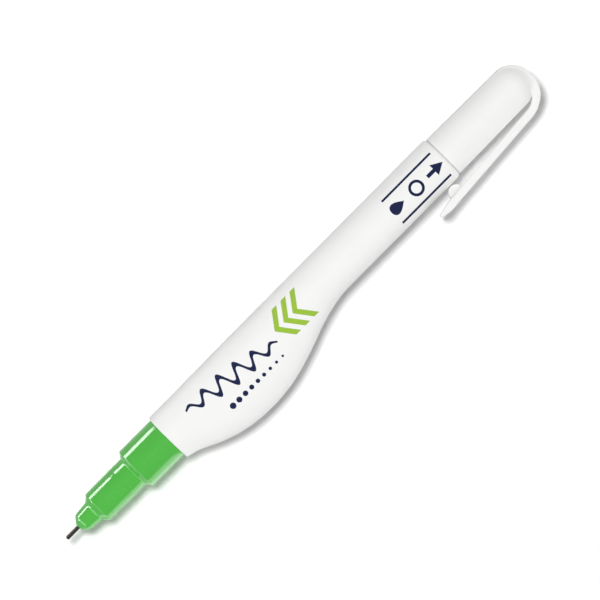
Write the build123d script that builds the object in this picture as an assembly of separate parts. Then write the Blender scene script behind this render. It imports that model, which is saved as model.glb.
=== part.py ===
from build123d import *
import math
import os

# A correction pen: a white squeeze barrel, a green nose with a spring valve in a metal tip, and a
# cap with a pocket clip pushed on the tail. Sizes are millimetres.
# The pen lies on its side. +X runs from the tip to the tail, +Z is up, and the belly and the clip
# are on -Y. The origin is on the surface it lies on, under the middle of its box.
# The pieces are drawn along the tail's axis, with x = 0 at the needle's point, and moved at the end.

# Lengths along the pen, from the needle's point to the tail
point_reach = 0.15
tube_reach = 3.75
nub_cone_length = 1.3
nub_length = 3.7
flare_length = 1.4
collar_length = 11.3
shoulder_length = 1.0
nose_body_length = 10.1
barrel_length = 89.8
cap_seat_gap = 0.1
cap_side_length = 22.0
dome_height = 4.9

# Barrel: a round tail, and a belly that swells towards -Y
tube_diameter = 11.6
barrel_wall = 1.0
neck_wall = 1.15
nose_drop = 0.55
belly_length = 53.3
belly_depth = 6.92
tail_edge_round = 1.0
rim_round = 0.3
tail_spigot_length = 8.0
spigot_end_round = 1.2
cavity_round = 0.8
tail_floor = 1.5
# Each station is a share of the belly's length, of its depth and of the nose's drop
belly_shares = (
    (0.00, 0.16, 0.36),
    (0.06, 0.285, 0.35),
    (0.12, 0.505, 0.315),
    (0.20, 0.755, 0.245),
    (0.30, 0.94, 0.16),
    (0.41, 1.00, 0.065),
    (0.52, 0.945, 0.015),
    (0.62, 0.78, 0.00),
    (0.72, 0.535, 0.00),
    (0.82, 0.26, 0.00),
    (0.91, 0.08, 0.00),
    (0.97, 0.01, 0.00),
    (1.00, 0.00, 0.00),
)
crest_share = 0.41

# Squeeze panel: the part of the belly's wall that the fingers press in
panel_length = 26.0
panel_width = 7.2
panel_gap = 0.1

# Nose
rim_step = 0.25
nub_front_diameter = 1.7
nub_diameter = 4.9
nub_draft = 0.35
nub_round = 1.2
nub_front_round = 0.35
collar_diameter = 8.3
flare_round = 0.9
edge_round = 0.3
body_edge_round = 0.2
pip_count = 6
pip_radius = 1.6
pip_height = 0.15
pip_setback = 3.9
pip_phase = 18.0
spigot_length = 5.5
spigot_lead = 0.6
bead_height = 0.2
bead_length = 1.0
bead_inset = 0.8
neck_fit_gap = 0.03

# Ring that seals the nose in the neck
seal_thickness = 0.8
seal_gap = 0.02
seal_inset = 1.0
groove_side_gap = 0.15

# Tip tube and valve
tube_outside = 1.0
tube_bore = 0.5
tube_hold_length = 6.0
tube_edge_round = 0.2
lip_bore = 0.36
lip_length = 0.3
lip_slope_length = 0.1
tube_fit_gap = 0.01
point_diameter = 0.28
wire_diameter = 0.4
seat_gap = 0.03
point_round = 0.09
passage_length = 1.0
passage_diameter = 1.2
chamber_diameter = 4.2
carrier_gap = 0.1
carrier_head_length = 1.8
carrier_pin_length = 2.6
carrier_pin_diameter = 1.9
carrier_front_gap = 0.3
valve_edge_round = 0.15
flute_count = 3
flute_diameter = 1.2
needle_hold_length = 3.4
spring_wire = 0.4
spring_diameter = 3.2
spring_length = 7.7
spring_turns = 7
spring_end_gap = 0.05
retainer_length = 3.5
retainer_diameter = 5.6
retainer_gap = 0.02
retainer_hole_diameter = 1.2
retainer_slot_count = 4
retainer_slot_width = 1.2
retainer_slot_depth = 0.8
feed_bore_diameter = 6.2

# Mixing ball
ball_diameter = 4.8
ball_gap = 0.1
ball_setback = 34.0

# Cap and its inner pieces
cap_wall = 1.1
cap_draft = 0.25
cap_fit_gap = 0.05
tail_fit_gap = 0.08
mouth_round = 0.25
crown_floor = 3.3
chamber_length = 5.2
sleeve_length = 5.0
sleeve_depth = cap_side_length + dome_height - crown_floor - chamber_length - sleeve_length
sleeve_gap = 0.04
sleeve_floor = 1.4
sleeve_lead = 0.5
nub_fit_gap = 0.05
needle_hole_diameter = 2.4
point_chamber_diameter = 5.2
pad_thickness = 1.6
pad_gap = 0.04
pad_round = 0.2

# Clip and the strap that carries it over the crown
clip_thickness = 1.9
clip_width = 4.6
clip_edge_round = 0.35
strap_sink = 1.4
strap_far_inset = 0.45
strap_far_round = 4.05
bend_round = 6.05
hinge_setback = 0.6
clip_root_gap = 1.0
clip_overhang = 10.2
clip_toe_length = 2.4
clip_toe_drop = 0.7
clip_toe_round = 5.0
clip_end_round = 0.42
clip_ramp_height = 0.48
clip_ramp_length = 3.6
bump_setback = 6.6
bump_height = 1.9
bump_radius = 1.85
bump_width = 3.4
bump_gap = 0.3
knuckle_gap = 0.08

# How far a cut runs past the faces that it opens
overrun = 1.0

# Places along the pen
tube_mouth_x = point_reach
nub_x = tube_mouth_x + tube_reach
cone_end_x = nub_x + nub_cone_length
nub_end_x = cone_end_x + nub_length
collar_x = nub_end_x + flare_length
shoulder_x = collar_x + collar_length
body_x = shoulder_x + shoulder_length
seam_x = body_x + nose_body_length
spigot_end_x = seam_x + spigot_length
bead_x = spigot_end_x - spigot_lead - bead_inset - bead_length
belly_end_x = seam_x + belly_length
tail_x = seam_x + barrel_length
tail_end_x = tail_x + tail_spigot_length
mouth_x = tail_x + cap_seat_gap
sleeve_x = mouth_x + sleeve_depth
sleeve_end_x = sleeve_x + sleeve_length
chamber_end_x = sleeve_end_x + chamber_length
dome_x = mouth_x + cap_side_length
crown_x = dome_x + dome_height
pen_end_x = crown_x + clip_thickness - strap_sink
clip_end_x = tail_x - clip_overhang
bump_x = clip_end_x + bump_setback
tube_end_x = nub_x + tube_hold_length
valve_x = tube_end_x + passage_length
carrier_x = valve_x + carrier_front_gap
spring_x = carrier_x + carrier_head_length
retainer_x = spring_x + spring_length

# Radii that follow from the sizes above
tube_radius = tube_diameter / 2
cavity_radius = tube_radius - barrel_wall
body_radius = tube_radius - rim_step
neck_radius = tube_radius - neck_wall
spigot_radius = neck_radius - neck_fit_gap
nub_radius = nub_diameter / 2
collar_radius = collar_diameter / 2
cap_bore_radius = collar_radius + pip_height + cap_fit_gap
tail_spigot_radius = cap_bore_radius - tail_fit_gap
mouth_radius = cap_bore_radius + cap_wall
crown_radius = mouth_radius - cap_draft
point_chamber_radius = point_chamber_diameter / 2


def turned(outline):
    """Solid turned about X from (x, radius, corner round) points that start and end on the axis."""
    points = [(x, radius) for x, radius, _ in outline]
    rounds = [corner for _, _, corner in outline[1:-1]]
    profile = FilletPolyline(*points, radius=rounds) + Line(points[-1], points[0])
    return revolve(make_face(profile), Axis.X)


def rod(start_x, end_x, radius):
    """Plain round bar along X."""
    return turned(((start_x, 0, 0), (start_x, radius, 0), (end_x, radius, 0), (end_x, 0, 0)))


def on_nose_axis(shape):
    """The nose's axis runs a little nearer the belly than the tail's axis."""
    return Pos(0, -nose_drop, 0) * shape


def spun(shape, count, phase=0.0):
    """Copies of a shape spread evenly round the X axis."""
    return [Rot(phase + 360.0 * number / count, 0, 0) * shape for number in range(count)]


def belly_section(shares, inset):
    """Cross-section of the barrel: half a circle above its centre and half an ellipse below."""
    length_share, depth_share, drop_share = shares
    drop = nose_drop * drop_share
    radius = tube_radius - inset
    depth = tube_radius + belly_depth * depth_share - drop - inset
    back = CenterArc((0, 0), radius, -90, 180)
    belly = EllipticalCenterArc((0, 0), depth, radius, start_angle=90, arc_size=180)
    place = (seam_x + belly_length * length_share, -drop, 0)
    return Plane(origin=place, x_dir=(0, 1, 0), z_dir=(1, 0, 0)) * make_face(back + belly)


def belly_form(inset):
    """Lofted form of the belly, drawn in by the wall for the inside."""
    return loft([belly_section(shares, inset) for shares in belly_shares])


def barrel_skin():
    """Outside of the barrel: belly, round tail and the stepped spigot that carries the cap."""
    tail = turned(
        (
            (belly_end_x, 0, 0),
            (belly_end_x, tube_radius, 0),
            (tail_x, tube_radius, tail_edge_round),
            (tail_x, tail_spigot_radius, 0),
            (tail_end_x, tail_spigot_radius, spigot_end_round),
            (tail_end_x, 0, 0),
        )
    )
    return belly_form(0) + tail


def barrel_cavity():
    """Space for the fluid: the belly's inside, the tail's inside and the round neck."""
    front_x = spigot_end_x + neck_wall
    front = Plane(origin=(front_x, 0, 0), z_dir=(1, 0, 0))
    belly = split(belly_form(barrel_wall), bisect_by=front, keep=Keep.TOP)
    floor_x = tail_x - tail_floor
    spigot_bore = tail_spigot_radius - barrel_wall
    tail = turned(
        (
            (belly_end_x, 0, 0),
            (belly_end_x, cavity_radius, 0),
            (floor_x, cavity_radius, cavity_round),
            (floor_x, spigot_bore, 0),
            (tail_end_x - barrel_wall, spigot_bore, cavity_round),
            (tail_end_x - barrel_wall, 0, 0),
        )
    )
    neck = rod(seam_x - overrun, front_x + overrun, neck_radius)
    groove = rod(bead_x - neck_fit_gap, bead_x + bead_length + neck_fit_gap, neck_radius + bead_height)
    return belly + tail + on_nose_axis(neck + groove)


def panel_prism(gap):
    """Stadium-shaped prism through the belly's wall, square to the press of the fingers."""
    outline = SlotOverall(panel_length + 2 * gap, panel_width + 2 * gap)
    place = Plane(
        origin=(seam_x + belly_length * crest_share, -tube_radius, 0), x_dir=(1, 0, 0), z_dir=(0, -1, 0)
    )
    return extrude(place * outline, amount=belly_depth + overrun)


def nose():
    """Green tip holder: nub, flare, collar with snap pips, shoulder, body and plug."""
    groove_x = seam_x + seal_inset
    groove_end_x = groove_x + seal_thickness + 2 * groove_side_gap
    groove_radius = neck_radius - seal_gap - seal_thickness - seal_gap
    bead_radius = spigot_radius + bead_height
    outside = turned(
        (
            (nub_x, 0, 0),
            (nub_x, nub_front_diameter / 2, nub_front_round),
            (cone_end_x, nub_radius, nub_round),
            (nub_end_x, nub_radius + nub_draft, flare_round),
            (collar_x, collar_radius, edge_round),
            (shoulder_x, collar_radius, edge_round),
            (body_x, body_radius, edge_round),
            (seam_x, body_radius, body_edge_round),
            (seam_x, spigot_radius, 0),
            (groove_x, spigot_radius, 0),
            (groove_x, groove_radius, 0),
            (groove_end_x, groove_radius, 0),
            (groove_end_x, spigot_radius, 0),
            (bead_x, spigot_radius, 0),
            (bead_x + bead_length / 2, bead_radius, 0),
            (bead_x + bead_length, spigot_radius, 0),
            (spigot_end_x - spigot_lead, spigot_radius, 0),
            (spigot_end_x, spigot_radius - spigot_lead, 0),
            (spigot_end_x, 0, 0),
        )
    )
    pip_sink = collar_radius + pip_height - pip_radius
    pip = Pos(shoulder_x - pip_setback, 0, pip_sink) * Sphere(pip_radius)
    tube_hole = rod(nub_x - overrun, tube_end_x, tube_outside / 2 + tube_fit_gap)
    passage = rod(tube_end_x, valve_x + overrun, passage_diameter / 2)
    chamber = rod(valve_x, retainer_x + overrun, chamber_diameter / 2)
    seat = rod(retainer_x, retainer_x + retainer_length + overrun, retainer_diameter / 2)
    feed = rod(retainer_x + retainer_length, spigot_end_x + overrun, feed_bore_diameter / 2)
    body = outside + spun(pip, pip_count, pip_phase)
    return on_nose_axis(body - tube_hole - passage - chamber - seat - feed)


def nose_seal():
    """Round rubber ring in the groove of the nose's plug."""
    ring_radius = neck_radius - seal_gap - seal_thickness / 2
    ring = Torus(ring_radius, seal_thickness / 2)
    place_x = seam_x + seal_inset + groove_side_gap + seal_thickness / 2
    return on_nose_axis(Pos(place_x, 0, 0) * Rot(0, 90, 0) * ring)


def tip_tube():
    """Thin metal tube with a lip turned in at its mouth."""
    outside = turned(
        (
            (tube_mouth_x, 0, 0),
            (tube_mouth_x, tube_outside / 2, tube_edge_round),
            (tube_end_x, tube_outside / 2, 0),
            (tube_end_x, 0, 0),
        )
    )
    slope_x = tube_mouth_x + lip_length
    inside = turned(
        (
            (tube_mouth_x - overrun, 0, 0),
            (tube_mouth_x - overrun, lip_bore / 2, 0),
            (slope_x, lip_bore / 2, 0),
            (slope_x + lip_slope_length, tube_bore / 2, 0),
            (tube_end_x + overrun, tube_bore / 2, 0),
            (tube_end_x + overrun, 0, 0),
        )
    )
    return on_nose_axis(outside - inside)


def valve_needle():
    """Wire whose shoulder closes the lip and whose point stands out of it."""
    shoulder_start_x = tube_mouth_x + lip_length + seat_gap
    needle = turned(
        (
            (0, 0, 0),
            (0, point_diameter / 2, point_round),
            (shoulder_start_x, point_diameter / 2, 0),
            (shoulder_start_x + lip_slope_length, wire_diameter / 2, 0),
            (carrier_x + needle_hold_length, wire_diameter / 2, 0),
            (carrier_x + needle_hold_length, 0, 0),
        )
    )
    return on_nose_axis(needle)


def needle_carrier():
    """Fluted spool that holds the needle and centres the spring."""
    head_radius = chamber_diameter / 2 - carrier_gap
    spool = turned(
        (
            (carrier_x, 0, 0),
            (carrier_x, head_radius, valve_edge_round),
            (spring_x, head_radius, valve_edge_round),
            (spring_x, carrier_pin_diameter / 2, 0),
            (spring_x + carrier_pin_length, carrier_pin_diameter / 2, valve_edge_round),
            (spring_x + carrier_pin_length, 0, 0),
        )
    )
    needle_hole = rod(carrier_x - overrun, carrier_x + needle_hold_length, wire_diameter / 2 + tube_fit_gap)
    flute = Pos(0, 0, head_radius) * rod(carrier_x - overrun, spring_x, flute_diameter / 2)
    return on_nose_axis(spool - needle_hole - spun(flute, flute_count))


def valve_spring():
    """Coil spring between the carrier's head and the retainer."""
    rise = spring_length - spring_wire - 2 * spring_end_gap
    start = (spring_x + spring_wire / 2 + spring_end_gap, 0, 0)
    coil = Helix(rise / spring_turns, rise, (spring_diameter - spring_wire) / 2, start, (1, 0, 0))
    wire_end = Plane(origin=coil @ 0, z_dir=coil % 0) * Circle(spring_wire / 2)
    return on_nose_axis(sweep(wire_end, path=coil, is_frenet=True))


def spring_retainer():
    """Plug pressed into the nose behind the spring, slotted to let the fluid past."""
    radius = retainer_diameter / 2 - retainer_gap
    plug = turned(
        (
            (retainer_x, 0, 0),
            (retainer_x, radius, valve_edge_round),
            (retainer_x + retainer_length, radius, valve_edge_round),
            (retainer_x + retainer_length, 0, 0),
        )
    )
    hole = rod(retainer_x - overrun, retainer_x + retainer_length + overrun, retainer_hole_diameter / 2)
    slot = Pos(retainer_x + retainer_length / 2, 0, radius) * Box(
        retainer_length + 2 * overrun, retainer_slot_width, 2 * retainer_slot_depth
    )
    return on_nose_axis(plug - hole - spun(slot, retainer_slot_count))


def mixing_ball():
    """Steel ball lying on the barrel's inner wall."""
    height = -(cavity_radius - ball_diameter / 2 - ball_gap)
    return Pos(tail_x - ball_setback, 0, height) * Sphere(ball_diameter / 2)


def clip_lines():
    """Corner of the strap's middle line, the hinge point, and the clip's direction and outer side."""
    root = Vector(dome_x, -(crown_radius + clip_root_gap))
    bump_foot = Vector(bump_x, -(tube_radius + bump_gap + bump_height))
    along = (bump_foot - root).normalized()
    outward = Vector(-along.Y, along.X)
    middle = root + outward * (clip_thickness / 2)
    strap_x = pen_end_x - clip_thickness / 2
    corner = middle + along * ((strap_x - middle.X) / along.X)
    half_turn = math.acos(-along.Y) / 2
    hinge = corner + along * (bend_round * math.tan(half_turn) + hinge_setback)
    return corner, hinge, along


def softened(plate):
    """Plate with the edges of its top and bottom faces rounded."""
    faces = plate.faces().sort_by(Axis.Z)
    return fillet(faces[0].edges() + faces[-1].edges(), clip_edge_round)


def crown_strap():
    """Strap that rises out of the dome, crosses the crown and bends towards the clip."""
    corner, hinge, _ = clip_lines()
    far_y = crown_radius - strap_far_inset - clip_thickness / 2
    path = FilletPolyline(
        (dome_x, far_y), (corner.X, far_y), corner, hinge, radius=(strap_far_round, bend_round)
    )
    section = RectangleRounded(clip_thickness, clip_width, clip_edge_round)
    start = Plane(origin=path @ 0, x_dir=(0, 1, 0), z_dir=path % 0)
    strap = sweep(start * section, path=path)
    pocket = Pos(hinge.X, hinge.Y) * Cylinder(clip_thickness / 2 + knuckle_gap, clip_width + overrun)
    return strap - pocket


def cap():
    """Moulded cap: drafted side, domed crown, and the strap that the clip grows from."""
    side = FilletPolyline(
        (mouth_x, 0), (mouth_x, mouth_radius), (dome_x, crown_radius), radius=[mouth_round]
    )
    dome = EllipticalCenterArc((dome_x, 0), dome_height, crown_radius, start_angle=0, arc_size=90)
    shell = revolve(make_face(side + dome + Line((crown_x, 0), (mouth_x, 0))), Axis.X)
    bore = rod(mouth_x - overrun, sleeve_end_x, cap_bore_radius)
    point_chamber = rod(sleeve_end_x - overrun, chamber_end_x, point_chamber_radius)
    return shell + crown_strap() - bore - point_chamber


def clip():
    """Springy clip: a knuckle at its root, a free end that ramps and rounds off, and the bump that grips."""
    _, hinge, along = clip_lines()
    half = clip_thickness / 2
    length = (clip_end_x - hinge.X) / along.X
    blade = FilletPolyline(
        (0, half),
        (length - clip_toe_length, half),
        (length, half - clip_toe_drop),
        (length, clip_ramp_height - half),
        (length - clip_ramp_length, -half),
        (0, -half),
        radius=(clip_toe_round, clip_end_round, clip_end_round, clip_ramp_length / 4),
    )
    knuckle = CenterArc((0, 0), half, 90, 180)
    place = Plane(origin=hinge, x_dir=along, z_dir=(0, 0, 1))
    face = place * make_face(blade + knuckle)
    arm = softened(extrude(face, amount=clip_width / 2, both=True))
    bump_y = -(tube_radius + bump_gap + bump_radius)
    bump = Pos(bump_x, bump_y) * Cylinder(bump_radius, bump_width)
    inner_side = Rectangle(length, bump_height + half, align=(Align.MIN, Align.MAX))
    return arm + (bump & extrude(place * inner_side, amount=bump_width, both=True))


def cap_seal():
    """Soft sleeve in the cap that closes round the nub."""
    end_x = sleeve_end_x - sleeve_gap
    floor_x = end_x - sleeve_floor
    grip_radius = nub_radius + nub_fit_gap
    sleeve = rod(sleeve_x, end_x, cap_bore_radius - sleeve_gap)
    inside = turned(
        (
            (sleeve_x, 0, 0),
            (sleeve_x, grip_radius + nub_draft + sleeve_lead, 0),
            (sleeve_x + sleeve_lead, grip_radius + nub_draft, 0),
            (floor_x, grip_radius, 0),
            (floor_x, needle_hole_diameter / 2, 0),
            (end_x + overrun, needle_hole_diameter / 2, 0),
            (end_x + overrun, 0, 0),
        )
    )
    return sleeve - inside


def tip_pad():
    """Soft pad at the end of the cap, where the needle's point meets it."""
    end_x = chamber_end_x - pad_gap
    radius = point_chamber_radius - pad_gap
    return turned(
        (
            (end_x - pad_thickness, 0, 0),
            (end_x - pad_thickness, radius, pad_round),
            (end_x, radius, pad_round),
            (end_x, 0, 0),
        )
    )


skin = barrel_skin()
rim = skin.faces().sort_by(Axis.X)[0]
wall = fillet(rim.edges(), rim_round) - barrel_cavity()
pieces = {
    "barrel": wall - panel_prism(panel_gap),
    "squeeze_panel": wall & panel_prism(0),
    "nose": nose(),
    "nose_seal": nose_seal(),
    "tip_tube": tip_tube(),
    "valve_needle": valve_needle(),
    "needle_carrier": needle_carrier(),
    "valve_spring": valve_spring(),
    "spring_retainer": spring_retainer(),
    "mixing_ball": mixing_ball(),
    "cap": cap(),
    "clip": clip(),
    "cap_seal": cap_seal(),
    "tip_pad": tip_pad(),
}

# The pen is moved so that it lies on the plane z = 0 with the middle of its box over the origin
place = Pos(-pen_end_x / 2, belly_depth / 2, tube_radius)
os.makedirs("parts", exist_ok=True)
for name, piece in pieces.items():
    export_step(place * piece, f"parts/{name}.step")
    print(f"{name}: {piece.volume:.2f} cubic mm")
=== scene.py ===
# %% [markdown]
# A correction pen, dressed over its CAD frame.
# The pen lies on its side on a white table. It has a soft white barrel with a belly to squeeze, a
# glossy green nose that holds a thin metal tip, and a white cap, with a pocket clip, pushed on its tail.
# The frame brings the exact solids and the bodies that move. This lesson models the outside again
# with smooth, light meshes, prints the barrel, and gives every piece the finish of its real material.

import math
from collections import namedtuple

import bmesh
import bpy
import numpy as np
from mathutils import Matrix, Vector


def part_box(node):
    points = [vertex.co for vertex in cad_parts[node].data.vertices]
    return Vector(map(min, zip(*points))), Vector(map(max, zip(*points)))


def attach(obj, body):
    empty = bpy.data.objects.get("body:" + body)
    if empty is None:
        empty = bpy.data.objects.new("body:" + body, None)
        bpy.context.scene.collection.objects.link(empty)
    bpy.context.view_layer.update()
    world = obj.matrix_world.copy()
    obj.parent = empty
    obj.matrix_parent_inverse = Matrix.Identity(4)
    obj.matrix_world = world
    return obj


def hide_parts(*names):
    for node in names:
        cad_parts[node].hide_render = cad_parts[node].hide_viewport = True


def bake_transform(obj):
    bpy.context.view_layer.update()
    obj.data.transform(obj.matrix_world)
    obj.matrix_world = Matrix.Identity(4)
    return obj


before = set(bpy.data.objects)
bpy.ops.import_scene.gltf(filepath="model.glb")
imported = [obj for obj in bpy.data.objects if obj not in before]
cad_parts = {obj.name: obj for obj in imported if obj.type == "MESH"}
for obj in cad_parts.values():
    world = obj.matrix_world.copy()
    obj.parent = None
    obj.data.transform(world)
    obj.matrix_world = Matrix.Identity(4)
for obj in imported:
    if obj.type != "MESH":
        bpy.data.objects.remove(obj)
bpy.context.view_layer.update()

# %% [markdown]
# A pen is easiest to draw in millimetres along its own axis, with x = 0 at the needle's point.
# Every piece below is drawn that way, and one matrix then carries it into the frame, in metres.
# The matrix is worked out from two CAD nodes, so the drawing follows the frame if that moves.

# %% From the pen's axis to the frame
MM = 0.001
tube_radius = 5.8
barrel_low, barrel_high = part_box("barrel")
pen_place = Vector(
    (
        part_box("valve_needle")[0].x,
        barrel_high.y - tube_radius * MM,
        barrel_low.z + tube_radius * MM,
    )
)
to_frame = Matrix.Translation(pen_place) @ Matrix.Scale(MM, 4)
print("needle point at", [round(value / MM, 3) for value in pen_place], "mm")

# %% [markdown]
# The finishes come first, because each piece takes one as it is made.
# Colours are written as sRGB hex, the way a colour picker shows them, and shaders want linear light,
# so one function converts them. A second small function adds a node, sets it and links it.

# %% Two helpers for materials
def to_linear(hex_colour):
    """Linear RGBA from an sRGB hex value."""
    parts = [int(hex_colour[place : place + 2], 16) / 255 for place in (1, 3, 5)]
    linear = [c / 12.92 if c <= 0.04045 else ((c + 0.055) / 1.055) ** 2.4 for c in parts]
    return (*linear, 1.0)


def add_node(tree, kind, inputs, **settings):
    """One node with its settings. Inputs are set to a value, or linked if given a socket."""
    node = tree.nodes.new(kind)
    for name, value in settings.items():
        setattr(node, name, value)
    for name, value in inputs.items():
        if isinstance(value, bpy.types.NodeSocket):
            tree.links.new(value, node.inputs[name])
        else:
            node.inputs[name].default_value = value
    return node


# %% [markdown]
# Almost everything on this pen is moulded. A mould leaves a skin with a very fine orange peel, and
# the pigment is never perfectly even, so one function makes all the moulded materials: slow clouds
# tint the colour and shift the gloss a little, and a fine grain bumps the surface.
# The grain of a real mould is finer than a pixel here, so it is drawn at about half a millimetre.

# %% Moulded materials
def moulded(name, colour, shade, roughness, cloud_mm, grain_mm, grain_depth_mm, **shader_inputs):
    """A moulded plastic, rubber or ink: two close colours, a gloss that wanders, and a fine grain."""
    material = bpy.data.materials.new(name)
    material.use_nodes = True
    tree = material.node_tree
    tree.nodes.clear()
    spot = add_node(tree, "ShaderNodeTexCoord", {}).outputs["Object"]
    cloud_scale = 1 / (cloud_mm * MM)
    clouds = add_node(tree, "ShaderNodeTexNoise", {"Vector": spot, "Scale": cloud_scale, "Detail": 3.0})
    grain_scale = 1 / (grain_mm * MM)
    grain = add_node(tree, "ShaderNodeTexNoise", {"Vector": spot, "Scale": grain_scale, "Detail": 2.0})
    tint = add_node(tree, "ShaderNodeMix", {"Factor": clouds.outputs["Fac"]}, data_type="RGBA")
    tint.inputs["A"].default_value = to_linear(colour)
    tint.inputs["B"].default_value = to_linear(shade)
    gloss = add_node(
        tree,
        "ShaderNodeMapRange",
        {"Value": clouds.outputs["Fac"], "To Min": roughness * 0.9, "To Max": roughness * 1.1},
    )
    depth = grain_depth_mm * MM
    peel = add_node(tree, "ShaderNodeBump", {"Height": grain.outputs["Fac"], "Distance": depth})
    shader = add_node(
        tree,
        "ShaderNodeBsdfPrincipled",
        {
            "Base Color": tint.outputs["Result"],
            "Roughness": gloss.outputs["Result"],
            "Normal": peel.outputs["Normal"],
            **shader_inputs,
        },
    )
    add_node(tree, "ShaderNodeOutputMaterial", {"Surface": shader.outputs["BSDF"]})
    print("material:", name)
    return material


# Blow-moulded polyethylene: waxy and satin
barrel_gloss = {"IOR": 1.51, "Specular IOR Level": 0.3}
polyethylene_barrel = moulded(
    "blow_moulded_polyethylene", "#f6f6f5", "#f2f2f1", 0.55, 9.0, 0.5, 0.006, **barrel_gloss
)
# Injection-moulded polypropylene: harder and a little glossier than the barrel
cap_gloss = {"IOR": 1.49, "Specular IOR Level": 0.3}
polypropylene_cap = moulded(
    "moulded_white_polypropylene", "#f5f5f4", "#f1f1f0", 0.5, 8.0, 0.5, 0.004, **cap_gloss
)
# The same plastic from a polished mould, in green: it mirrors a lamp as a crisp line
polypropylene_nose = moulded(
    "polished_green_polypropylene", "#4cb83f", "#46b23a", 0.13, 6.0, 0.8, 0.0004, IOR=1.49
)
# Natural acetal: hard, slippery and ivory white, for the small pieces of the valve
acetal_inside = moulded("natural_acetal", "#eae8e0", "#e3e1d8", 0.4, 3.0, 0.4, 0.004, IOR=1.48)
# Nitrile rubber: black and matt
rubber_ring = moulded("black_nitrile_rubber", "#272728", "#2e2e2f", 0.65, 2.0, 0.3, 0.01, IOR=1.52)
# A soft thermoplastic rubber: pale grey and dull
rubber_pad = moulded("soft_pale_rubber", "#c9c9c5", "#c2c2be", 0.6, 2.0, 0.3, 0.01, IOR=1.5)
# Screen-printed ink: a dense film that lies on the plastic, a little duller than it
ink_gloss = {"IOR": 1.5, "Specular IOR Level": 0.2}
ink_navy = moulded("navy_print_ink", "#141c40", "#182045", 0.5, 3.0, 0.4, 0.003, **ink_gloss)
ink_green = moulded("green_print_ink", "#a0c544", "#97bc3d", 0.5, 3.0, 0.4, 0.003, **ink_gloss)

# %% [markdown]
# The metal pieces are drawn wire and drawn tube, and drawing scratches metal along its length.
# A noise that is stretched along the pen gives those lines to the roughness.

# %% Drawn metal
def drawn_metal(name, colour, roughness, line_mm):
    """Metal with fine lines along X, from the die that it was pulled through."""
    material = bpy.data.materials.new(name)
    material.use_nodes = True
    tree = material.node_tree
    tree.nodes.clear()
    spot = add_node(tree, "ShaderNodeTexCoord", {}).outputs["Object"]
    along = add_node(tree, "ShaderNodeMapping", {"Vector": spot, "Scale": (0.05, 1.0, 1.0)})
    lines = add_node(
        tree,
        "ShaderNodeTexNoise",
        {"Vector": along.outputs["Vector"], "Scale": 1 / (line_mm * MM), "Detail": 2.0},
    )
    gloss = add_node(
        tree,
        "ShaderNodeMapRange",
        {"Value": lines.outputs["Fac"], "To Min": roughness * 0.7, "To Max": roughness * 1.3},
    )
    shader = add_node(
        tree,
        "ShaderNodeBsdfPrincipled",
        {"Base Color": to_linear(colour), "Metallic": 1.0, "Roughness": gloss.outputs["Result"]},
    )
    add_node(tree, "ShaderNodeOutputMaterial", {"Surface": shader.outputs["BSDF"]})
    print("material:", name)
    return material


# The tip and its needle are stained dark, and the spring and the ball inside are bright
dark_tube = drawn_metal("dark_drawn_steel_tube", "#3a3835", 0.35, 0.08)
bright_wire = drawn_metal("bright_drawn_steel_wire", "#c4c4c6", 0.25, 0.08)
polished_ball = drawn_metal("polished_steel_ball", "#cfd0d2", 0.12, 0.6)

# %% [markdown]
# One helper ends the making of every piece. It carries the mesh into the frame, merges doubles so that
# seams and poles are closed, turns the faces outwards, and shades it smooth between sharp edges.

# %% Finish a piece
sharp_angle = math.radians(38)
merge_distance = 1e-6


def finish_piece(name, bm, material):
    """A bmesh drawn in the pen's millimetres becomes a named object in the frame."""
    bmesh.ops.transform(bm, matrix=to_frame, verts=bm.verts)
    bmesh.ops.remove_doubles(bm, verts=bm.verts, dist=merge_distance)
    bmesh.ops.recalc_face_normals(bm, faces=bm.faces)
    mesh = bpy.data.meshes.new(name)
    bm.to_mesh(mesh)
    bm.free()
    mesh.shade_smooth()
    mesh.set_sharp_from_angle(angle=sharp_angle)
    mesh.materials.append(material)
    piece = bpy.data.objects.new(name, mesh)
    bpy.context.scene.collection.objects.link(piece)
    print(f"{name}: {len(mesh.polygons)} faces")
    return piece


# %% [markdown]
# The barrel is a blow-moulded bottle: a round tube at the tail that swells into a belly on one side.
# Its cross-section is half a circle on the back and half an ellipse on the belly, and only the depth of
# the ellipse and the place of the centre change along the pen. A smooth spline through a few stations
# gives both, so the outline has no corners and a highlight would run along it without a kink.

# %% The belly's outline
seam_x = 32.7
belly_length = 53.3
belly_depth = 6.92
nose_drop = 0.55
# Each station: share of the belly's length, of its depth, and of the nose's drop
belly_stations = np.array(
    (
        (0.00, 0.16, 0.36),
        (0.06, 0.285, 0.35),
        (0.12, 0.505, 0.315),
        (0.20, 0.755, 0.245),
        (0.30, 0.94, 0.16),
        (0.41, 1.00, 0.065),
        (0.52, 0.945, 0.015),
        (0.62, 0.78, 0.00),
        (0.72, 0.535, 0.00),
        (0.82, 0.26, 0.00),
        (0.91, 0.08, 0.00),
        (0.97, 0.01, 0.00),
        (1.00, 0.00, 0.00),
    )
)


def spline_through(places, values):
    """A natural cubic spline: a smooth curve through every station, as a function."""
    gaps = np.diff(places)
    slopes = np.diff(values) / gaps
    bends = np.zeros(len(places))
    system = np.diag(2 * (gaps[:-1] + gaps[1:])) + np.diag(gaps[1:-1], 1) + np.diag(gaps[1:-1], -1)
    bends[1:-1] = np.linalg.solve(system, 6 * np.diff(slopes))

    def curve(place):
        at = int(np.clip(np.searchsorted(places, place) - 1, 0, len(gaps) - 1))
        gap = gaps[at]
        before, after = place - places[at], places[at + 1] - place
        cubic = (bends[at] * after**3 + bends[at + 1] * before**3) / (6 * gap)
        left = (values[at] / gap - bends[at] * gap / 6) * after
        right = (values[at + 1] / gap - bends[at + 1] * gap / 6) * before
        return float(cubic + left + right)

    return curve


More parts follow.
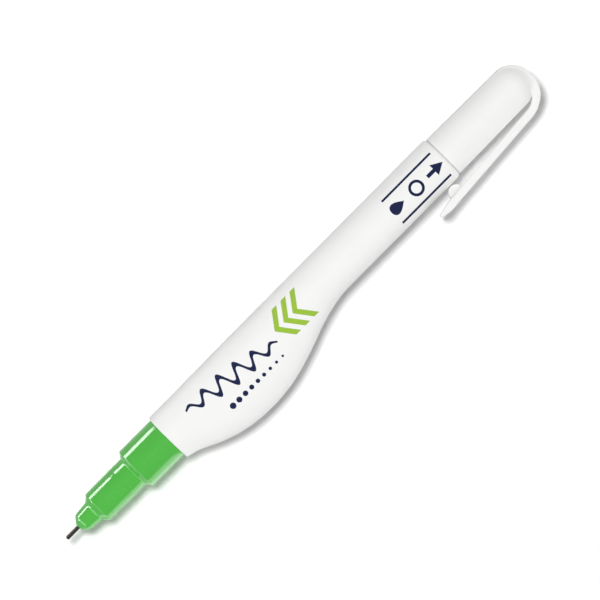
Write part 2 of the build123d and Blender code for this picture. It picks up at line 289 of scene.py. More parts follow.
depth_share = spline_through(belly_stations[:, 0], belly_stations[:, 1])
drop_share = spline_through(belly_stations[:, 0], belly_stations[:, 2])
Section = namedtuple("Section", "x middle back belly")


def barrel_section(x, inset=0.0):
    """The barrel's cross-section at x: its middle, the back's radius and the belly's reach."""
    share = min(max((x - seam_x) / belly_length, 0.0), 1.0)
    drop = nose_drop * drop_share(share)
    reach = tube_radius + belly_depth * depth_share(share) - drop
    return Section(x, -drop, tube_radius - inset, reach - inset)


print("belly reaches", round(max(barrel_section(seam_x + at).belly for at in range(50)), 2), "mm")

# %% [markdown]
# The mesh could be a spun tube pushed into shape, but a bottle is really a row of rings, so it is made
# like one: a circle at the bottom of the inside is extruded edge by edge, and each new ring is reshaped
# to the next section. The rings go up the inside, round the front rim and back down the outside, so
# the bottle has a real wall and stays one closed skin.

# %% Sections from the inside to the outside
tail_x = 122.5
spigot_end_x = 130.5
spigot_inset = 1.53
barrel_wall = 1.0
neck_radius = 4.65
neck_end_x = 39.35
groove_start_x = 35.8
groove_end_x = 36.86
groove_depth = 0.2
tail_floor_x = 121.0
rim_round = 0.3
shoulder_round = 1.0
spigot_round = 1.2
ring_spacing = 0.7
round_steps = 6


def neck(x, extra=0.0):
    """The round neck that takes the nose's plug."""
    return Section(x, -nose_drop, neck_radius + extra, neck_radius + extra)


def quarter(steps):
    """Sine and cosine along a quarter turn, for rounded edges."""
    angles = [math.pi / 2 * step / steps for step in range(1, steps + 1)]
    return [(math.sin(angle), math.cos(angle)) for angle in angles]


belly_end_x = seam_x + belly_length
outside_xs = np.arange(seam_x + rim_round, belly_end_x, ring_spacing)
inside_xs = outside_xs[outside_xs > neck_end_x][::-1]
spigot_bore_inset = spigot_inset + barrel_wall
sections = [barrel_section(spigot_end_x - barrel_wall, spigot_bore_inset)]
sections += [barrel_section(tail_floor_x, spigot_bore_inset), barrel_section(tail_floor_x, barrel_wall)]
sections += [barrel_section(belly_end_x, barrel_wall)]
sections += [barrel_section(x, barrel_wall) for x in inside_xs]
sections += [barrel_section(neck_end_x, barrel_wall), neck(neck_end_x)]
sections += [neck(groove_end_x), neck(groove_end_x, groove_depth)]
sections += [neck(groove_start_x, groove_depth), neck(groove_start_x)]
sections += [neck(seam_x), barrel_section(seam_x, rim_round)]
sections += [
    barrel_section(seam_x + rim_round * (1 - cosine), rim_round * (1 - sine))
    for sine, cosine in quarter(round_steps)
]
sections += [barrel_section(x) for x in outside_xs[1:]]
sections += [barrel_section(belly_end_x), barrel_section(tail_x - shoulder_round)]
sections += [
    barrel_section(tail_x - shoulder_round * (1 - sine), shoulder_round * (1 - cosine))
    for sine, cosine in quarter(round_steps)
]
sections += [barrel_section(x, spigot_inset) for x in (tail_x, spigot_end_x - spigot_round)]
sections += [
    barrel_section(spigot_end_x - spigot_round * (1 - sine), spigot_inset + spigot_round * (1 - cosine))
    for sine, cosine in quarter(round_steps)
]
print(len(sections), "rings")

# %% The barrel's skin
barrel_steps = 128


def extrude_ring(bm, edges, old, new):
    """Extrude a ring of edges and reshape it from one section to the next."""
    made = bmesh.ops.extrude_edge_only(bm, edges=edges)["geom"]
    for vert in (item for item in made if isinstance(item, bmesh.types.BMVert)):
        away = vert.co.y - old.middle
        stretch = new.back / old.back if away > 0 else new.belly / old.belly
        vert.co = (new.x, new.middle + away * stretch, vert.co.z * new.back / old.back)
    return [item for item in made if isinstance(item, bmesh.types.BMEdge)]


bm = bmesh.new()
first = sections[0]
facing_x = Matrix.Translation((first.x, first.middle, 0)) @ Matrix.Rotation(math.pi / 2, 4, "Y")
bmesh.ops.create_circle(bm, cap_ends=True, segments=barrel_steps, radius=first.back, matrix=facing_x)
ring = bm.edges[:]
for old, new in zip(sections, sections[1:]):
    ring = extrude_ring(bm, ring, old, new)
bmesh.ops.edgeloop_fill(bm, edges=ring)
barrel_skin = finish_piece("barrel_skin", bm, polyethylene_barrel)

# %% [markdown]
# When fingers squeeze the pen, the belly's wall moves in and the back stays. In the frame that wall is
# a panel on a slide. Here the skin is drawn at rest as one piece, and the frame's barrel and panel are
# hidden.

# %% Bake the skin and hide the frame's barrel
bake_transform(barrel_skin)
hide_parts("barrel", "squeeze_panel")

# %% [markdown]
# The nose, the tip and the cap are round, so each is turned from an outline, like work in a lathe.
# The outline is a chain of corners given as a place, a radius and how much the corner is rounded.
# A vertex bevel rounds a corner of a wire chain, and its offset is where the arc meets the lines.

# %% Turned pieces
corner_steps = 5


def rounded_chain(bm, corners, closed):
    """Wire through (x, y, round) corners, each rounded with a vertex bevel."""
    spots = [Vector((x, y, 0)) for x, y, _ in corners]
    verts = [bm.verts.new(spot) for spot in spots]
    for here, after in zip(verts, verts[1:] + verts[:1] if closed else verts[1:]):
        bm.edges.new((here, after))
    for number, (_, _, radius) in enumerate(corners):
        if radius:
            before = spots[number] - spots[number - 1]
            after = spots[(number + 1) % len(spots)] - spots[number]
            bmesh.ops.bevel(
                bm,
                geom=[verts[number]],
                offset=radius * math.tan(before.angle(after) / 2),
                offset_type="OFFSET",
                segments=corner_steps,
                profile=0.5,
                affect="VERTICES",
                material=-1,
            )


def turned(corners, axis_y, steps, closed):
    """A bmesh turned about the pen's direction from (x, radius, round) corners."""
    bm = bmesh.new()
    rounded_chain(bm, corners, closed)
    bmesh.ops.spin(
        bm,
        geom=bm.verts[:] + bm.edges[:],
        cent=(0, 0, 0),
        axis=(1, 0, 0),
        angle=2 * math.pi,
        steps=steps,
        use_merge=True,
    )
    bmesh.ops.translate(bm, verts=bm.verts, vec=(0, axis_y, 0))
    bmesh.ops.remove_doubles(bm, verts=bm.verts, dist=merge_distance / MM)
    return bm


# %% [markdown]
# The nose steps up from a small nub to a collar, a shoulder and a body, and ends in a plug that snaps
# into the barrel. Inside are the bores for the tip tube, the valve and its retainer.
# Six low pips round the collar hold the cap. They are pushed out of the collar's own mesh, so they
# grow from it without a seam: each vertex that lies inside a pip's ball moves out to its surface.

# %% The nose
collar_radius = 4.15
band_ends = (16.9, 18.5)
nose_outline = (
    (3.9, 0.51, 0),
    (3.9, 0.85, 0.35),
    (5.2, 2.45, 1.2),
    (8.9, 2.8, 0.9),
    (10.3, collar_radius, 0.3),
    (band_ends[0], collar_radius, 0),
    (band_ends[1], collar_radius, 0),
    (21.6, collar_radius, 0.3),
    (22.6, 5.55, 0.3),
    (32.7, 5.55, 0.2),
    (32.7, 4.62, 0),
    (33.7, 4.62, 0),
    (33.7, 3.81, 0),
    (34.8, 3.81, 0),
    (34.8, 4.62, 0),
    (35.8, 4.62, 0),
    (36.3, 4.82, 0),
    (36.8, 4.62, 0),
    (37.6, 4.62, 0),
    (38.2, 4.02, 0),
    (38.2, 3.1, 0),
    (24.2, 3.1, 0),
    (24.2, 2.8, 0),
    (20.7, 2.8, 0),
    (20.7, 2.1, 0),
    (10.9, 2.1, 0),
    (10.9, 0.6, 0),
    (9.9, 0.6, 0),
    (9.9, 0.51, 0),
)
nose_steps = 240
pip_count = 6
pip_x = 17.7
pip_radius = 1.6
pip_height = 0.15
pip_phase = math.radians(48)
band_cuts = 15
collar_slack = 0.01

bm = turned(nose_outline, 0.0, nose_steps, closed=True)
band = [
    edge
    for edge in bm.edges
    if sorted(round(vert.co.x, 3) for vert in edge.verts) == list(band_ends)
]
bmesh.ops.subdivide_edges(bm, edges=band, cuts=band_cuts, use_grid_fill=True)
pip_centre = collar_radius + pip_height - pip_radius
for vert in bm.verts:
    reach = math.hypot(vert.co.y, vert.co.z)
    if abs(reach - collar_radius) > collar_slack or abs(vert.co.x - pip_x) > pip_radius:
        continue
    angle = math.atan2(vert.co.z, vert.co.y) - pip_phase
    turn = (angle + math.pi / pip_count) % (2 * math.pi / pip_count) - math.pi / pip_count
    inside = pip_radius**2 - (vert.co.x - pip_x) ** 2 - (pip_centre * math.sin(turn)) ** 2
    raised = pip_centre * math.cos(turn) + math.sqrt(max(inside, 0.0))
    if raised > reach:
        vert.co.y *= raised / reach
        vert.co.z *= raised / reach
bmesh.ops.translate(bm, verts=bm.verts, vec=(0, -nose_drop, 0))
nose = finish_piece("nose_moulding", bm, polypropylene_nose)
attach(nose, "barrel")
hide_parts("nose")

# %% [markdown]
# The tip is a thin steel tube with a lip turned in at its mouth. The point of a needle stands out of it
# by a hair: pressed on paper, it slides back and lets the fluid past.

# %% Tip tube and needle
tip_steps = 48
tube_outline = (
    (0.15, 0.18, 0.04),
    (0.15, 0.5, 0.2),
    (9.9, 0.5, 0),
    (9.9, 0.25, 0),
    (0.55, 0.25, 0),
    (0.45, 0.18, 0),
)
needle_outline = (
    (0.0, 0.0, 0),
    (0.0, 0.14, 0.09),
    (0.48, 0.14, 0),
    (0.58, 0.2, 0),
    (14.6, 0.2, 0),
    (14.6, 0.0, 0),
)
bm = turned(tube_outline, -nose_drop, tip_steps, closed=True)
tip_tube = finish_piece("tip_tube_drawn", bm, dark_tube)
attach(tip_tube, "barrel")
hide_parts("tip_tube")
bm = turned(needle_outline, -nose_drop, tip_steps, closed=False)
needle = finish_piece("needle_wire", bm, dark_tube)
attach(needle, "valve")
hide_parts("valve_needle")

# %% [markdown]
# Behind the needle, a coil spring keeps the valve shut. A circle spun round the nose's axis, with a small
# step along it each time, makes a helix. When the needle is pressed, the front of the coil goes back with
# its carrier and the rear stays. Here the coil is drawn at rest.

# %% The valve's spring
coil_start_x = 13.25
coil_rise = 7.2
coil_turns = 7
coil_radius = 1.4
coil_wire = 0.2
coil_steps = 28
wire_sides = 12

bm = bmesh.new()
wire_spot = Matrix.Translation((coil_start_x, coil_radius, 0))
bmesh.ops.create_circle(bm, cap_ends=True, segments=wire_sides, radius=coil_wire, matrix=wire_spot)
bmesh.ops.spin(
    bm,
    geom=bm.verts[:] + bm.edges[:] + bm.faces[:],
    cent=(0, 0, 0),
    axis=(1, 0, 0),
    dvec=(coil_rise / (coil_turns * coil_steps), 0, 0),
    angle=2 * math.pi * coil_turns,
    steps=coil_turns * coil_steps,
)
bmesh.ops.translate(bm, verts=bm.verts, vec=(0, -nose_drop, 0))
spring_coil = finish_piece("spring_coil", bm, bright_wire)
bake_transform(spring_coil)
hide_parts("valve_spring")

# %% [markdown]
# The clip is one springy strip of even thickness that grows out of the cap's crown: a strap crosses the
# dome, bends down the side and runs along the cap to an end that thins. Its side view is two rounded
# chains of corners, one for each face of the strip. It is drawn before the cap, which swells to meet it.

# %% The clip's outline
dome_x = 144.6
clip_thickness = 1.9
clip_width = 4.6
pen_end_x = 150.0
strap_far_y = 4.75
clip_end_x = 112.3
root = Vector((dome_x, -6.2, 0))
bump_foot = Vector((118.9, -8.0, 0))
along = (bump_foot - root).normalized()
outward = Vector((-along.y, along.x, 0))


def on_clip(x, depth):
    """A point of the clip at x, a depth outside its inner face."""
    start = root + outward * depth
    return start + along * ((x - start.x) / along.x)


ramp_height = 0.48
ramp_length = 3.6
ramp_round = 0.9
toe_drop = 0.7
toe_length = 2.4
toe_round = 5.0
far_round = 4.05
bend_round = 6.05
half = clip_thickness / 2
bend_outer = on_clip(pen_end_x, clip_thickness)
bend_inner = on_clip(pen_end_x - clip_thickness, 0)
toe = on_clip(clip_end_x + toe_length, clip_thickness)
free_outer = on_clip(clip_end_x, clip_thickness - toe_drop)
free_inner = on_clip(clip_end_x, ramp_height)
ramp = on_clip(clip_end_x + ramp_length, 0)
outer_chain = (
    (dome_x, strap_far_y, 0),
    (pen_end_x, strap_far_y, far_round + half),
    (bend_outer.x, bend_outer.y, bend_round + half),
    (toe.x, toe.y, toe_round),
    (free_outer.x, free_outer.y, 0),
)
inner_chain = (
    (dome_x, strap_far_y - clip_thickness, 0),
    (pen_end_x - clip_thickness, strap_far_y - clip_thickness, far_round - half),
    (bend_inner.x, bend_inner.y, bend_round - half),
    (ramp.x, ramp.y, ramp_round),
    (free_inner.x, free_inner.y, 0),
)
print("clip leans", round(math.degrees(math.atan2(along.y, along.x)) + 180, 2), "degrees")

# %% [markdown]
# The cap is a tapered sleeve with a domed crown. Its bore fits the tail, where it sits here, and the
# nose's collar when the pen is put away. The dome is a quarter of an ellipse, turned.
# A moulding has no sharp inner corners, so the dome swells to meet the strap. Two distances decide how
# far: that to the dome and that to the strap. Their soft minimum is the skin of both, melted together,
# and every vertex of the dome moves out along its normal until it lies on that skin.

# %% The cap
cap_steps = 192
mouth_x = 122.52
mouth_radius = 5.45
dome_height = 4.9
crown_radius = 5.2
mouth_round = 0.12
bore_radius = 4.35
bore_round = 0.15
bore_end_x = 141.0
chamber_radius = 2.6
chamber_end_x = 146.2
dome_steps = 36
dome = [(dome_x + dome_height * cosine, crown_radius * sine, 0) for sine, cosine in quarter(dome_steps)]
cap_outline = (
    (dome_x + dome_height, 0.0, 0),
    *dome,
    (mouth_x, mouth_radius, mouth_round),
    (mouth_x, bore_radius, bore_round),
    (bore_end_x, bore_radius, 0),
    (bore_end_x, chamber_radius, 0),
    (chamber_end_x, chamber_radius, 0),
    (chamber_end_x, 0.0, 0),
)
melt_places = (-4.4, -2.2, 0.5, 3.5)
melt_widths = (0.2, 1.4, 1.4, 0.6)
melt_step = 0.02
melt_tuck = 0.03
strap_x = pen_end_x - half
far_centre = Vector((strap_x - far_round, strap_far_y - half - far_round))
bend_corner = on_clip(strap_x, half)
bend_rise = bend_round * math.tan(math.acos(-along.y) / 2)
bend_centre = Vector((strap_x - bend_round, bend_corner.y + bend_rise))


def strap_distance(spot):
    """Distance to the strap's skin, below zero inside it."""
    if spot.y > far_centre.y:
        off_line = abs((spot.xy - far_centre).length - far_round)
    elif spot.y > bend_centre.y:
        off_line = abs(spot.x - strap_x)
    else:
        off_line = abs((spot.xy - bend_centre).length - bend_round)
    over, beside = off_line - half, abs(spot.z) - clip_width / 2
    return math.hypot(max(over, 0.0), max(beside, 0.0)) + min(max(over, beside), 0.0)


def soft_minimum(one, other, width):
    """The smaller of two distances, rounded where they are nearly the same."""
    near = max(width - abs(one - other), 0.0) / width
    return min(one, other) - near**2 * width / 4


bm = turned(cap_outline, 0.0, cap_steps, closed=False)
bmesh.ops.recalc_face_normals(bm, faces=bm.faces)
bm.normal_update()
furthest = 0.0
for vert in bm.verts:
    radius = math.hypot(vert.co.y, vert.co.z)
    on_dome = abs(math.hypot((vert.co.x - dome_x) / dome_height, radius / crown_radius) - 1) < 0.001
    if vert.co.x > dome_x and on_dome:
        width = float(np.interp(vert.co.y, melt_places, melt_widths))
        move = 0.0
        while soft_minimum(move, strap_distance(vert.co + vert.normal * move), width) < 0:
            move += melt_step
        vert.co += vert.normal * move
        vert.co.x = min(vert.co.x, pen_end_x - melt_tuck)
        furthest = max(furthest, move)
print("the dome swells by up to", round(furthest, 2), "mm")
cap_shell = finish_piece("cap_shell", bm, polypropylene_cap)
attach(cap_shell, "cap")
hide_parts("cap")

# %% [markdown]
# The clip's two chains are bridged into a ribbon, which is its side view, and that is extruded across the
# strip's width. Its long edges are then rounded.

# %% The clip
clip_edge_round = 0.35
clip_edge_steps = 4
long_edge_angle = math.radians(60)

bm = bmesh.new()
rounded_chain(bm, outer_chain, closed=False)
rounded_chain(bm, inner_chain, closed=False)
bmesh.ops.translate(bm, verts=bm.verts, vec=(0, 0, -clip_width / 2))
side = bmesh.ops.bridge_loops(bm, edges=bm.edges[:])["faces"]
thick = bmesh.ops.extrude_face_region(bm, geom=side)["geom"]
bmesh.ops.translate(
    bm, verts=[item for item in thick if isinstance(item, bmesh.types.BMVert)], vec=(0, 0, clip_width)
)
bmesh.ops.recalc_face_normals(bm, faces=bm.faces)
long_edges = [edge for edge in bm.edges if edge.calc_face_angle(0) > long_edge_angle]
bmesh.ops.bevel(
    bm,
    geom=long_edges,
    offset=clip_edge_round,
    segments=clip_edge_steps,
    profile=0.5,
    affect="EDGES",
    material=-1,
)
clip_strip = finish_piece("clip_strip", bm, polypropylene_cap)

# %% [markdown]
# A bump near the clip's end grips the pocket's edge. It is a short round bar whose ends slope down
# towards the barrel, welded to the clip with a Boolean union.

# %% The bump
bump_radius = 1.85
bump_width = 3.4
bump_y = -7.95
bump_height = 1.9
bump_fall = 0.8
bump_steps = 64
rim_angle = math.radians(50)

bm = bmesh.new()
bmesh.ops.create_cone(
    bm,
    cap_ends=True,
    segments=bump_steps,
    radius1=bump_radius,
    radius2=bump_radius,
    depth=bump_width,
    matrix=Matrix.Translation((bump_foot.x, bump_y, 0)),
)
everything = bm.verts[:] + bm.edges[:] + bm.faces[:]
bmesh.ops.bisect_plane(bm, geom=everything, plane_co=bump_foot, plane_no=(0, 1, 0))
for vert in bm.verts:
    vert.co.z *= 1 - bump_fall * max(vert.co.y - bump_foot.y, 0.0) / bump_height
rims = [edge for edge in bm.edges if edge.calc_face_angle(0) > rim_angle]
bmesh.ops.bevel(
    bm,
    geom=rims,
    offset=clip_edge_round,
    segments=clip_edge_steps,
    profile=0.5,
    affect="EDGES",
    material=-1,
)
bump = finish_piece("clip_bump", bm, polypropylene_cap)
weld = clip_strip.modifiers.new("weld", "BOOLEAN")
weld.operation = "UNION"
weld.object = bump
graph = bpy.context.evaluated_depsgraph_get()
welded = bpy.data.meshes.new_from_object(clip_strip.evaluated_get(graph))
clip_strip.modifiers.clear()
clip_strip.data = welded
welded.shade_smooth()
welded.set_sharp_from_angle(angle=sharp_angle)
bpy.data.objects.remove(bump)
print("clip with bump:", len(welded.polygons), "faces")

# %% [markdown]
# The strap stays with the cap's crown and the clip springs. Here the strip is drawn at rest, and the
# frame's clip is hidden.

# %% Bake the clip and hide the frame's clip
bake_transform(clip_strip)
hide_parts("clip")

# %% [markdown]
# The barrel is screen-printed in navy and green. Ink is a thin film, so each mark is drawn flat, cut
# into small faces, dropped on the skin from above and given a film's thickness. The faces have to be
# small, or the round skin would come through the film between their corners. Being real shapes, the
# marks keep crisp edges at any distance.

# %% Lay ink on the barrel
film = 0.01
cut_spacing = 0.25


def skin_height(x, y):
    """Height of the barrel's skin above its axis, at a place seen from above."""
    section = barrel_section(x)
    away = y - section.middle
    reach = section.back if away > 0 else section.belly
    return section.back * math.sqrt(max(1 - (away / reach) ** 2, 0.0))


def lay_ink(name, bm, material):
    """Cut flat marks small, drop them on the skin and thicken them."""
    for axis in (0, 1):
        low = min(vert.co[axis] for vert in bm.verts)
        high = max(vert.co[axis] for vert in bm.verts)
        direction = Vector((1 - axis, axis, 0))
        for place in np.arange(low + cut_spacing, high, cut_spacing):
            everything = bm.verts[:] + bm.edges[:] + bm.faces[:]
            bmesh.ops.bisect_plane(bm, geom=everything, plane_co=direction * place, plane_no=direction)
    bmesh.ops.triangulate(bm, faces=bm.faces)
    for vert in bm.verts:
        vert.co.z = skin_height(vert.co.x, vert.co.y) + film
    bmesh.ops.recalc_face_normals(bm, faces=bm.faces)
    bmesh.ops.solidify(bm, geom=bm.faces[:], thickness=2 * film)
    ink = finish_piece(name, bm, material)
    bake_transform(ink)


# %% [markdown]
# The navy print is a loose wave that runs along the grip and thins at its ends, like a stroke of a
# brush, with a row of dots below it that shrink towards the tail.

# %% Navy wave and dots
wave_start = Vector((40.0, 0.6))
wave_end = Vector((66.0, -2.9))
wave_count = 5.5
wave_height = 1.9
wave_steps = 180
taper_power = 0.6
stroke = 0.75
thin_end = 0.25

bm = bmesh.new()
bmesh.ops.create_grid(bm, x_segments=wave_steps, y_segments=1, size=1.0)
for vert in bm.verts:
    share = (vert.co.x + 1) / 2
    taper = math.sin(math.pi * share) ** taper_power
    middle = wave_start.lerp(wave_end, share)
    swing = math.sin(2 * math.pi * wave_count * share) * wave_height * taper
    half_width = stroke * (thin_end + (1 - thin_end) * taper)
    vert.co = (middle.x, middle.y + swing + vert.co.y * half_width, 0)
dot_count = 9
dot_sides = 28
dot_row = (Vector((48.5, -6.1, 0)), Vector((64.5, -6.1, 0)))
dot_radius = 0.75
dot_shrink = 0.45
for number in range(dot_count):
    share = number / (dot_count - 1)
    spot = Matrix.Translation(dot_row[0].lerp(dot_row[1], share))
    radius = dot_radius - dot_shrink * share
    bmesh.ops.create_circle(bm, cap_ends=True, segments=dot_sides, radius=radius, matrix=spot)
lay_ink("print_wave", bm, ink_navy)

# %% [markdown]
# The green print is three chevrons on the belly's crest: they show where to squeeze.

# %% Green chevrons
chevron_spots = (67.9, 70.8, 73.7)
chevron_y = -0.9
chevron_half_height = 4.0
chevron_half_width = 0.75
chevron_slope = 0.75

bm = bmesh.new()
for spot in chevron_spots:
    made = bmesh.ops.create_grid(bm, x_segments=1, y_segments=2, size=1.0)["verts"]
    for vert in made:
        reach = vert.co.y * chevron_half_height
        lean = abs(reach) * chevron_slope
        vert.co = (spot + vert.co.x * chevron_half_width + lean, chevron_y + reach, 0)
lay_ink("print_chevrons", bm, ink_green)

# %% [markdown]
# Near the cap stand three small signs between two rules: a drop, a ring and an arrow. A drop is a circle
# whose width narrows towards its point, a ring is two circles bridged, the arrow is a bar and a triangle.

# %% Small signs
sign_y = -0.8
sign_size = 2.0
drop_x, ring_x, arrow_x = 107.0, 113.0, 118.6
sign_sides = 48
drop_power = 1.4
ring_radii = (sign_size * 0.95, sign_size * 0.62)
head_radius = sign_size * 0.9
head_reach = 1.0
shaft_half_length = 1.1
shaft_half_width = 0.45
rule_gap = 3.4
rule_half_length = 7.8
rule_half_width = 0.25


def add_bar(bm, x, y, half_length, half_width):
    """A flat bar along the pen, in the pen's millimetres."""
    place = Matrix.Translation((x, y, 0)) @ Matrix.Diagonal((half_length, half_width, 1.0, 1.0))
    bmesh.ops.create_grid(bm, x_segments=1, y_segments=1, size=1.0, matrix=place)


bm = bmesh.new()
drop = bmesh.ops.create_circle(bm, cap_ends=True, segments=sign_sides, radius=sign_size)["verts"]
for vert in drop:
    angle = math.atan2(vert.co.y, vert.co.x)
    vert.co = (drop_x + vert.co.x, sign_y + vert.co.y * abs(math.sin(angle / 2)) ** drop_power, 0)
ring_place = Matrix.Translation((ring_x, sign_y, 0))
ring_edges = []
for radius in ring_radii:
    loop = bmesh.ops.create_circle(bm, segments=sign_sides, radius=radius, matrix=ring_place)["verts"]
    ring_edges += [edge for edge in bm.edges if edge.verts[0] in loop and edge.verts[1] in loop]
bmesh.ops.bridge_loops(bm, edges=ring_edges)
head_place = Matrix.Translation((arrow_x + head_reach, sign_y, 0)) @ Matrix.Rotation(-math.pi / 2, 4, "Z")
bmesh.ops.create_circle(bm, cap_ends=True, segments=3, radius=head_radius, matrix=head_place)
add_bar(bm, arrow_x - head_reach, sign_y, shaft_half_length, shaft_half_width)
for side in (-1, 1):
    add_bar(bm, ring_x, sign_y + side * rule_gap, rule_half_length, rule_half_width)
lay_ink("print_signs", bm, ink_navy)

# %% [markdown]
# The pieces inside are right as they come from the frame, so they stay and only get their finish.

# %% Finish the inner pieces
inner_finishes = {
    "nose_seal": rubber_ring,
    "needle_carrier": acetal_inside,
    "spring_retainer": acetal_inside,
    "mixing_ball": polished_ball,
    "cap_seal": rubber_pad,
    "tip_pad": rubber_pad,
}
for name, material in inner_finishes.items():
    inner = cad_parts[name]
    for place in inner.material_slots:
        place.material = material
    print(name, "gets", material.name)

# %% [markdown]
# The table is a plain white sheet. It has to look pure white and still keep the pen's shadow, so the
# camera, mirrors and glass see it a little whiter than white, while the light that it sends back to the
# pen is that of real white paper. A colour does this better than a glow, which would fill the shadow.

# %% Table
table_half = 3.0
table_seen_white = 1.06


def seen_directly(tree):
    """1 for rays from the camera, a mirror or glass, and 0 for light that bounces."""
    path = add_node(tree, "ShaderNodeLightPath", {})
    both = add_node(
        tree,
        "ShaderNodeMath",
        {0: path.outputs["Is Camera Ray"], 1: path.outputs["Is Glossy Ray"]},
        operation="MAXIMUM",
    )
    every = add_node(
        tree,
        "ShaderNodeMath",
        {0: both.outputs[0], 1: path.outputs["Is Transmission Ray"]},
        operation="MAXIMUM",
    )
    return every.outputs[0]


table_white = bpy.data.materials.new("white_table_sheet")
table_white.use_nodes = True
tree = table_white.node_tree
tree.nodes.clear()
paper = add_node(tree, "ShaderNodeMix", {"Factor": seen_directly(tree)}, data_type="RGBA")
paper.inputs["A"].default_value = to_linear("#f7f7f7")
paper.inputs["B"].default_value = (table_seen_white, table_seen_white, table_seen_white, 1.0)
matt = add_node(tree, "ShaderNodeBsdfDiffuse", {"Color": paper.outputs["Result"]})
add_node(tree, "ShaderNodeOutputMaterial", {"Surface": matt.outputs["BSDF"]})

bm = bmesh.new()
bmesh.ops.create_grid(bm, x_segments=1, y_segments=1, size=table_half)
table_mesh = bpy.data.meshes.new("table_sheet")
bm.to_mesh(table_mesh)
bm.free()
table_mesh.materials.append(table_white)
table_sheet = bpy.data.objects.new("table_sheet", table_mesh)
bpy.context.scene.collection.objects.link(table_sheet)

# %% [markdown]
# The light is that of a small product table, and the white room gives most of it. The lamps come in two
# kinds: plain ones that no surface mirrors, and shine lamps that light nothing but show in shiny plastic.
# A lamp can also be linked to pieces. Receivers are what it lights, and blockers are what stops its light.

# %% Room and lamps
world = bpy.data.worlds.new("white_room")
bpy.context.scene.world = world
world.use_nodes = True
tree = world.node_tree
tree.nodes.clear()
room_light = 0.35
room_level = add_node(
    tree,
    "ShaderNodeMapRange",
    {"Value": seen_directly(tree), "To Min": room_light, "To Max": 1.0},
)
room = add_node(tree, "ShaderNodeBackground", {"Strength": room_level.outputs["Result"]})
add_node(tree, "ShaderNodeOutputWorld", {"Surface": room.outputs["Background"]})


def area_light(name, spot, aim, size, power, shine=False):
    """A rectangular lamp at a spot, turned to an aim: a plain one, or one that only mirrors show."""
    light = bpy.data.lights.new(name, "AREA")
    light.shape = "RECTANGLE"
    light.size, light.size_y = size
    light.energy = power
    lamp = bpy.data.objects.new(name, light)
    bpy.context.scene.collection.objects.link(lamp)
    lamp.location = spot
    lamp.rotation_euler = (Vector(aim) - Vector(spot)).to_track_quat("-Z", "Y").to_euler()
    lamp.visible_camera = False
    lamp.visible_glossy = shine
    lamp.visible_diffuse = not shine
    print(f"{name}: {power} W")
    return lamp


def link_light(lamp, role, state, *pieces):
    """Name a lamp's receivers or blockers: INCLUDE means those pieces alone, EXCLUDE all but those."""
    named = bpy.data.collections.new(f"{lamp.name}_{role}")
    for piece in pieces:
        named.objects.link(piece)
    for entry in named.collection_objects:
        entry.light_linking.link_state = state
    setattr(lamp.light_linking, role + "_collection", named)


# %% [markdown]
# Two soft boxes hang overhead. One, a little to the belly's side, lights the pen alone. The other, a little
# to the pen's back, lights the table alone and draws the narrow shadow beside the belly.

# %% Soft boxes
pen_box = area_light("pen_soft_box", (0, -0.08, 1.0), (0, 0, 0), (0.3, 0.3), 7.5)
link_light(pen_box, "receiver", "EXCLUDE", table_sheet)
table_box = area_light("table_soft_box", (0, 0.255, 1.0), (0, 0, 0), (0.28, 0.28), 8.2)
link_light(table_box, "receiver", "INCLUDE", table_sheet)

# %% [markdown]
# Polished plastic is drawn by what it mirrors. A bright strip stands low at the back of the nose, with a
# second one round the corner before it. A dim card leans on the belly's side, and a wide one stands before
# the tip. They draw a crisp line along one flank of the green nose, a pale band along the other and glints
# on its rims.

# %% Shine on the nose
# Each lamp: its name, spot, aim and size in metres, and its power in watts
shine_lamps = (
    ("nose_strip", (-0.0883, 0.17, 0.025), (-0.0883, 0, 0.025), (0.1135, 0.05), 0.285),
    ("nose_corner", (-0.188, 0.123, 0.025), (-0.068, 0.003, 0.025), (0.12, 0.05), 0.3),
    ("nose_card", (-0.0658, -0.0418, 0.0082), (-0.0658, -0.0191, 0.1056), (0.048, 0.0684), 0.0227),
    ("nose_front", (-0.21, 0, 0.11), (0, 0, 0.11), (0.3, 0.14), 0.51),
)
for name, spot, aim, size, power in shine_lamps:
    area_light(name, spot, aim, size, power, shine=True)

# %% [markdown]
# Four small fills end the lighting. One lights the nose alone, from the front, and one lightens the shadow
# beside it. One stands for the light that the clip throws back on the cap and the barrel, so the clip does
# not stop it. The last lies outside the clip and narrows its shadow.

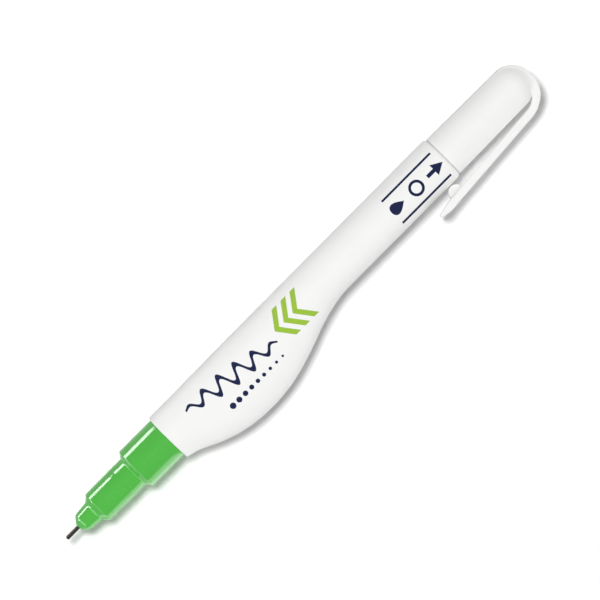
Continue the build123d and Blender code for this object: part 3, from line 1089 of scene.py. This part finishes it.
# %% Fills
nose_middle = (-0.0565, 0, 0.006)
nose_fill = area_light("nose_fill", (-0.2, 0, 0.045), nose_middle, (0.06, 0.06), 0.033)
link_light(nose_fill, "receiver", "INCLUDE", nose)
shadow_spot = (-0.0595, -0.015, 0.01)
shadow_aim = (-0.0595, -0.004, 0)
shadow_fill = area_light("shadow_fill", shadow_spot, shadow_aim, (0.024, 0.006), 0.0007)
link_light(shadow_fill, "receiver", "INCLUDE", table_sheet)
flank_spot = to_frame @ Vector((133.0, -9.0, 1.2))
flank_aim = to_frame @ Vector((133.0, 0, 1.2))
cap_fill = area_light("cap_fill", flank_spot, flank_aim, (0.026, 0.002), 0.00022)
link_light(cap_fill, "receiver", "INCLUDE", cap_shell, barrel_skin)
link_light(cap_fill, "blocker", "EXCLUDE", clip_strip)
clip_middle_x = 131.5
fill_distance = 3.0
fill_height = 1.0
clip_edge = on_clip(clip_middle_x, clip_thickness) - Vector((0, 0, tube_radius))
fringe_spot = to_frame @ (clip_edge + outward * fill_distance + Vector((0, 0, fill_height)))
fringe_aim = to_frame @ (clip_edge + outward)
clip_fill = area_light("clip_shadow_fill", fringe_spot, fringe_aim, (0.033, 0.002), 0.0001)
link_light(clip_fill, "receiver", "INCLUDE", table_sheet)

# %% [markdown]
# The photograph looks straight down, with the pen along the picture's diagonal. A long lens keeps the
# pen's sides parallel. The camera's place comes from the middle of the picture and its field in mm.

# %% Camera
picture_middle = (1.28, 3.52)
picture_turn = -45.21
field_mm = 137.04
lens_mm = 300.0
sensor_mm = 36.0
lens = bpy.data.cameras.new("long_lens")
lens.lens = lens_mm
lens.sensor_width = sensor_mm
camera = bpy.data.objects.new("camera", lens)
bpy.context.scene.collection.objects.link(camera)
distance = field_mm * MM * lens_mm / sensor_mm
camera.location = (picture_middle[0] * MM, picture_middle[1] * MM, pen_place.z + distance)
camera.rotation_euler = (0, 0, math.radians(picture_turn))
bpy.context.scene.camera = camera
bpy.context.scene.view_settings.view_transform = "Standard"
print("camera", round(distance, 3), "m above the pen")
